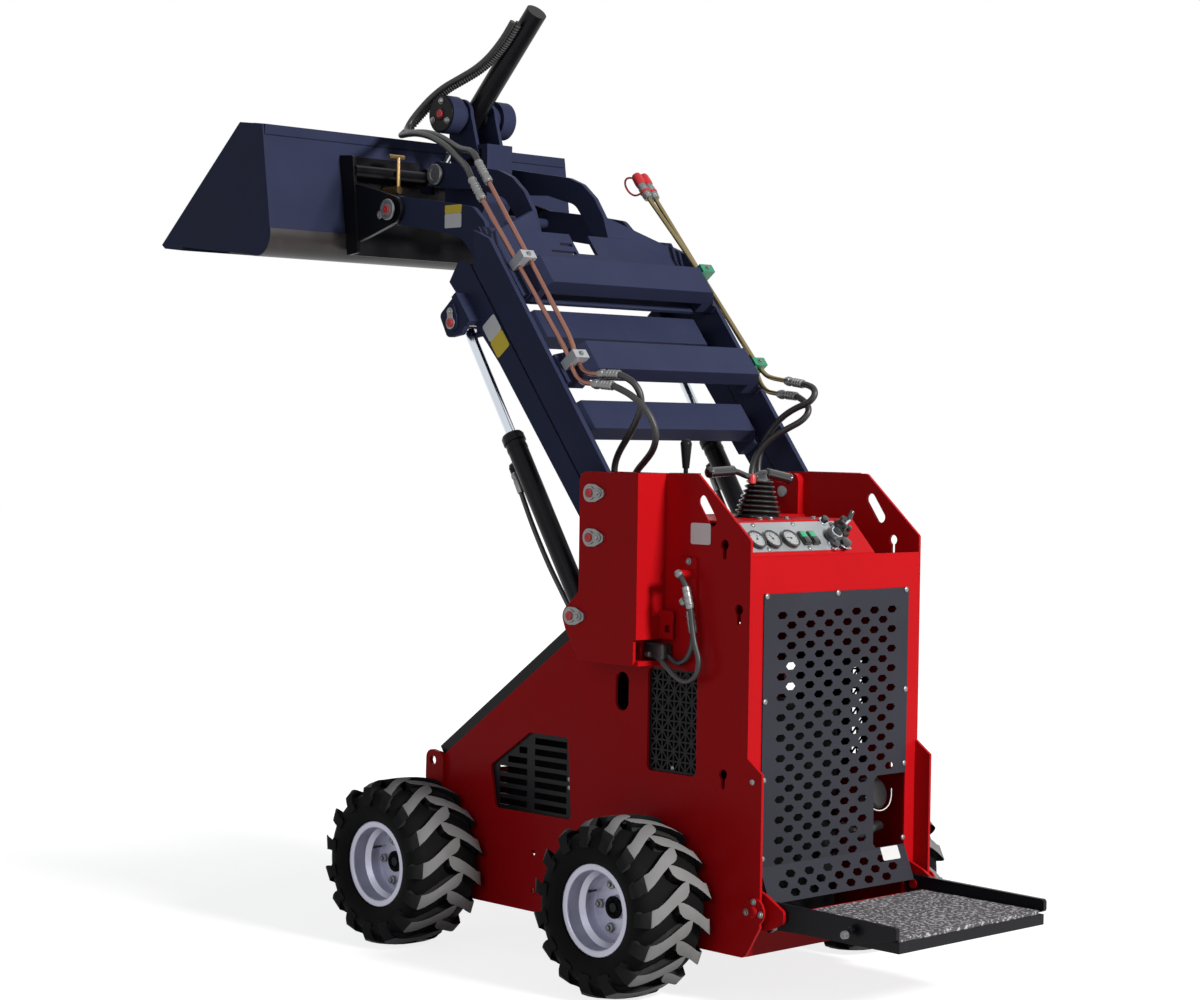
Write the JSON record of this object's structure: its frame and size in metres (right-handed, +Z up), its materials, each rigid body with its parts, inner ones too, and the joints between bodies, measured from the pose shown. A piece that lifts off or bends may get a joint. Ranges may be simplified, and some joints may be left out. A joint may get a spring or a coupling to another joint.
{
  "type": "mini_wheel_loader",
  "caption": "Stand-on mini wheel loader in red with raised graphite arms, bucket, perforated rear grille and fold-up foot platform",
  "frame": {"origin": "on the ground under the middle of the bounding box, with the machine parked and its arms raised", "axes": "X points forward over the bucket, Y to the machine's left, Z up"},
  "size_m": [2.608, 1.168, 2.615],
  "materials": {
    "body_red": "gloss",
    "arm_graphite": "gloss",
    "black_steel": "satin",
    "grille_grey": "satin",
    "tyre_rubber": "matte",
    "rim_silver": "satin",
    "zinc": "satin",
    "chrome_rod": "polished",
    "black_plastic": "matte",
    "engine_iron": "matte",
    "copper_pipe": "satin",
    "gold_zinc": "satin",
    "hose_rubber": "matte",
    "grip_mat": "matte"
  },
  "bodies": {
    "chassis": {"side_plate_left": "body_red", "side_plate_right": "body_red", "side_vents_left": "black_steel", "side_vents_right": "black_steel", "tower_left": "body_red", "tower_right": "body_red", "tower_pins": "zinc", "belly_pan": "body_red", "front_cover": "black_steel", "deck": "body_red", "rear_frame": "body_red", "rear_grille": "grille_grey", "dash_panel": "body_red", "joystick": "black_plastic", "control_levers": "black_steel", "engine_block": "engine_iron", "front_lugs": "body_red", "hydraulic_bracket": "body_red", "wheel_motors": "black_steel", "platform_hinges": "body_red", "gauge_plate": "zinc", "dash_controls": "black_plastic", "arm_hoses": "hose_rubber", "lift_hoses": "hose_rubber", "body_hoses": "hose_rubber"},
    "wheel_front_left": {"rim_front_left": "rim_silver", "tyre_front_left": "tyre_rubber"},
    "wheel_front_right": {"rim_front_right": "rim_silver", "tyre_front_right": "tyre_rubber"},
    "wheel_rear_left": {"rim_rear_left": "rim_silver", "tyre_rear_left": "tyre_rubber"},
    "wheel_rear_right": {"rim_rear_right": "rim_silver", "tyre_rear_right": "tyre_rubber"},
    "lift_arm": {"arm_side_left": "arm_graphite", "arm_side_right": "arm_graphite", "arm_rungs": "arm_graphite"},
    "level_link": {"link_side_left": "arm_graphite", "link_side_right": "arm_graphite", "link_rungs": "arm_graphite", "link_head": "arm_graphite", "pipes_left": "copper_pipe", "pipes_right": "gold_zinc", "line_fittings": "zinc", "pipe_clamps": "zinc", "tilt_hoses": "hose_rubber"},
    "head": {"tilt_pedestal": "arm_graphite"},
    "bucket": {"bucket_shell": "arm_graphite", "cutting_edge": "arm_graphite", "attach_plate": "black_steel", "lock_levers": "zinc"},
    "tilt_barrel": {"tilt_barrel": "black_steel"},
    "tilt_rod": {"tilt_rod": "chrome_rod"},
    "lift_barrel_left": {"lift_barrel_left": "black_steel"},
    "lift_barrel_right": {"lift_barrel_right": "black_steel"},
    "lift_rod_left": {"lift_rod_left": "chrome_rod"},
    "lift_rod_right": {"lift_rod_right": "chrome_rod"},
    "platform": {"platform_frame": "black_steel", "platform_mat": "grip_mat"}
  },
  "joints": [
    {"name": "wheel_front_left", "type": "hinge", "parent": "chassis", "child": "wheel_front_left", "pos_m": [0.299, 0.456, 0.225], "axis": [0, 1, 0], "continuous": true},
    {"name": "wheel_front_right", "type": "hinge", "parent": "chassis", "child": "wheel_front_right", "pos_m": [0.299, -0.456, 0.225], "axis": [0, 1, 0], "continuous": true},
    {"name": "wheel_rear_left", "type": "hinge", "parent": "chassis", "child": "wheel_rear_left", "pos_m": [-0.559, 0.456, 0.225], "axis": [0, 1, 0], "continuous": true},
    {"name": "wheel_rear_right", "type": "hinge", "parent": "chassis", "child": "wheel_rear_right", "pos_m": [-0.559, -0.456, 0.225], "axis": [0, 1, 0], "continuous": true},
    {"name": "arm_lift", "type": "hinge", "parent": "chassis", "child": "lift_arm", "pos_m": [-0.397, 0, 1.137], "axis": [0, 1, 0], "range_deg": [0, 88]},
    {"name": "level_link_turn", "type": "hinge", "parent": "chassis", "child": "level_link", "pos_m": [-0.397, 0, 1.25], "axis": [0, 1, 0], "range_deg": [0, 88], "deforming": ["arm_hoses"]},
    {"name": "head_turn", "type": "hinge", "parent": "level_link", "child": "head", "pos_m": [0.562, 0, 2.138], "axis": [0, 1, 0], "range_deg": [-88, 0], "deforming": ["tilt_hoses"]},
    {"name": "bucket_tilt", "type": "hinge", "parent": "head", "child": "bucket", "pos_m": [0.562, 0, 2.025], "axis": [0, -1, 0], "range_deg": [-45, 25]},
    {"name": "tilt_barrel_swing", "type": "hinge", "parent": "head", "child": "tilt_barrel", "pos_m": [0.575, 0, 2.315], "axis": [0, 1, 0], "range_deg": [-15, 20]},
    {"name": "tilt_rod_slide", "type": "slide", "parent": "tilt_barrel", "child": "tilt_rod", "axis": [0.6963, 0, -0.7177], "range_m": [-0.11, 0.16]},
    {"name": "lift_barrel_swing_left", "type": "hinge", "parent": "chassis", "child": "lift_barrel_left", "pos_m": [-0.33, 0.376, 0.934], "axis": [0, 1, 0], "range_deg": [0, 92], "deforming": ["lift_hoses"]},
    {"name": "lift_rod_slide_left", "type": "slide", "parent": "lift_barrel_left", "child": "lift_rod_left", "axis": [0.5397, 0, 0.8418], "range_m": [-0.31, 0]},
    {"name": "lift_barrel_swing_right", "type": "hinge", "parent": "chassis", "child": "lift_barrel_right", "pos_m": [-0.33, -0.376, 0.934], "axis": [0, 1, 0], "range_deg": [0, 92]},
    {"name": "lift_rod_slide_right", "type": "slide", "parent": "lift_barrel_right", "child": "lift_rod_right", "axis": [0.5397, 0, 0.8418], "range_m": [-0.31, 0]},
    {"name": "platform_fold", "type": "hinge", "parent": "chassis", "child": "platform", "pos_m": [-0.89, 0, 0.244], "axis": [0, 1, 0], "range_deg": [0, 80]}
  ],
  "couplings": [
    {"joint": "level_link_turn", "follows": "arm_lift", "ratio": 1},
    {"joint": "head_turn", "follows": "arm_lift", "ratio": -1},
    {"joint": "tilt_barrel_swing", "follows": "bucket_tilt", "ratio": -0.29038},
    {"joint": "tilt_rod_slide", "follows": "bucket_tilt", "m_per_rad": -0.18979},
    {"joint": "lift_barrel_swing_left", "follows": "arm_lift", "ratio": 1.0275},
    {"joint": "lift_rod_slide_left", "follows": "arm_lift", "m_per_rad": -0.1923},
    {"joint": "lift_barrel_swing_right", "follows": "arm_lift", "ratio": 1.0275},
    {"joint": "lift_rod_slide_right", "follows": "arm_lift", "m_per_rad": -0.1923}
  ]
}
